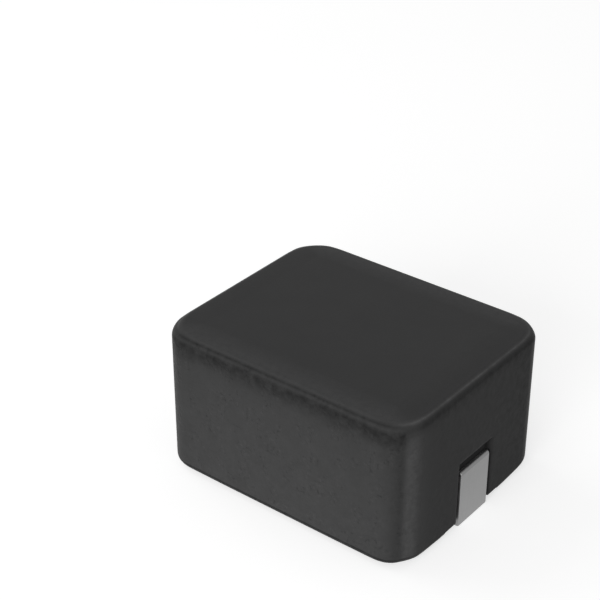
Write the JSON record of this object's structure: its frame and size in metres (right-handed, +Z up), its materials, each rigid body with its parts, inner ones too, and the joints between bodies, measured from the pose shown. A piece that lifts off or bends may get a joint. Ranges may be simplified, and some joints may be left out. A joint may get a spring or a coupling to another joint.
{
  "type": "shielded smd inductor",
  "caption": "Moulded surface-mount power inductor: a dark pressed-powder block around a flat-wire coil, with folded tin-plated strips at its ends that form the solder pads.",
  "frame": {"origin": "middle of the footprint, on the plane of the solder pads", "axes": "+X from the left terminal to the right terminal, +Y across the block, +Z up, away from the board"},
  "size_m": [0.0036, 0.003, 0.002],
  "materials": {
    "pressed_powder": "matte dark grey pressed and cured metal powder, finely pitted on the side walls",
    "enamelled_copper": "enamelled copper wire",
    "matte_tin": "matte tin plating on copper strip"
  },
  "bodies": {
    "root": {"moulded_core": "pressed_powder", "winding": "enamelled_copper", "left_terminal": "matte_tin", "right_terminal": "matte_tin"}
  },
  "joints": []
}
